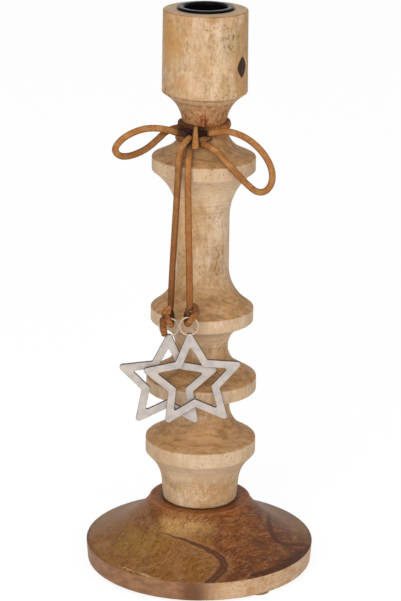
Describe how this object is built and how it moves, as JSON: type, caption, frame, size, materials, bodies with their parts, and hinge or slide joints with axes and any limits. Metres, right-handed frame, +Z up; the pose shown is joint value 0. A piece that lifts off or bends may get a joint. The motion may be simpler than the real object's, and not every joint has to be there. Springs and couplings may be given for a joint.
{
  "type": "turned candle stand",
  "caption": "Turned wooden candle stand with a round base, stacked discs, a metal candle cup and a leather lace bow that carries open metal stars on wire rings.",
  "frame": {"origin": "centre of the base on the surface that the felt pads rest on", "axes": "+Z up along the column's axis, -Y to the front where the bow and the stars are, +X to the right seen from the front"},
  "size_m": [0.1215, 0.1216, 0.3014],
  "materials": {
    "base_wood": "oiled, satin",
    "column_wood": "fine sanded, matt",
    "felt": "felt",
    "cup_metal": "gloss black",
    "screw_steel": "zinc plated",
    "lace": "suede",
    "ring_steel": "bright wire",
    "star_metal": "cast, tumbled"
  },
  "bodies": {
    "root": {"base_plate": "base_wood", "column": "column_wood", "foot_pads": "felt", "candle_cup": "cup_metal", "cup_screw": "screw_steel", "column_screw": "screw_steel", "column_washer": "screw_steel", "lace_collar": "lace", "lace_knot": "lace", "lace_bow_left": "lace", "lace_bow_right": "lace", "lace_tail_left": "lace", "lace_tail_right": "lace", "lace_hitch_left": "lace", "lace_hitch_right": "lace"},
    "ring_left": {"ring_left": "ring_steel", "lace_end_left": "lace"},
    "ring_right": {"ring_right": "ring_steel"},
    "star_left": {"star_left": "star_metal"},
    "star_right": {"star_right": "star_metal"}
  },
  "joints": [
    {"name": "ring_right_lift", "type": "hinge", "parent": "root", "child": "ring_right", "pos_m": [-0.0066, -0.0332, 0.14715], "axis": [-1, 0, 0], "range_deg": [0, 50]},
    {"name": "ring_left_lift", "type": "hinge", "parent": "root", "child": "ring_left", "pos_m": [-0.0167, -0.0304, 0.14555], "axis": [-1, 0, 0], "range_deg": [0, 35]},
    {"name": "star_right_swing", "type": "hinge", "parent": "ring_right", "child": "star_right", "pos_m": [-0.0066, -0.0332, 0.1424], "axis": [0, 1, 0], "range_deg": [-30, 30]},
    {"name": "star_left_swing", "type": "hinge", "parent": "ring_left", "child": "star_left", "pos_m": [-0.0167, -0.0304, 0.1408], "axis": [0, 1, 0], "range_deg": [-30, 30]}
  ],
  "couplings": [
    {"joint": "ring_left_lift", "follows": "ring_right_lift", "ratio": 0.7}
  ]
}
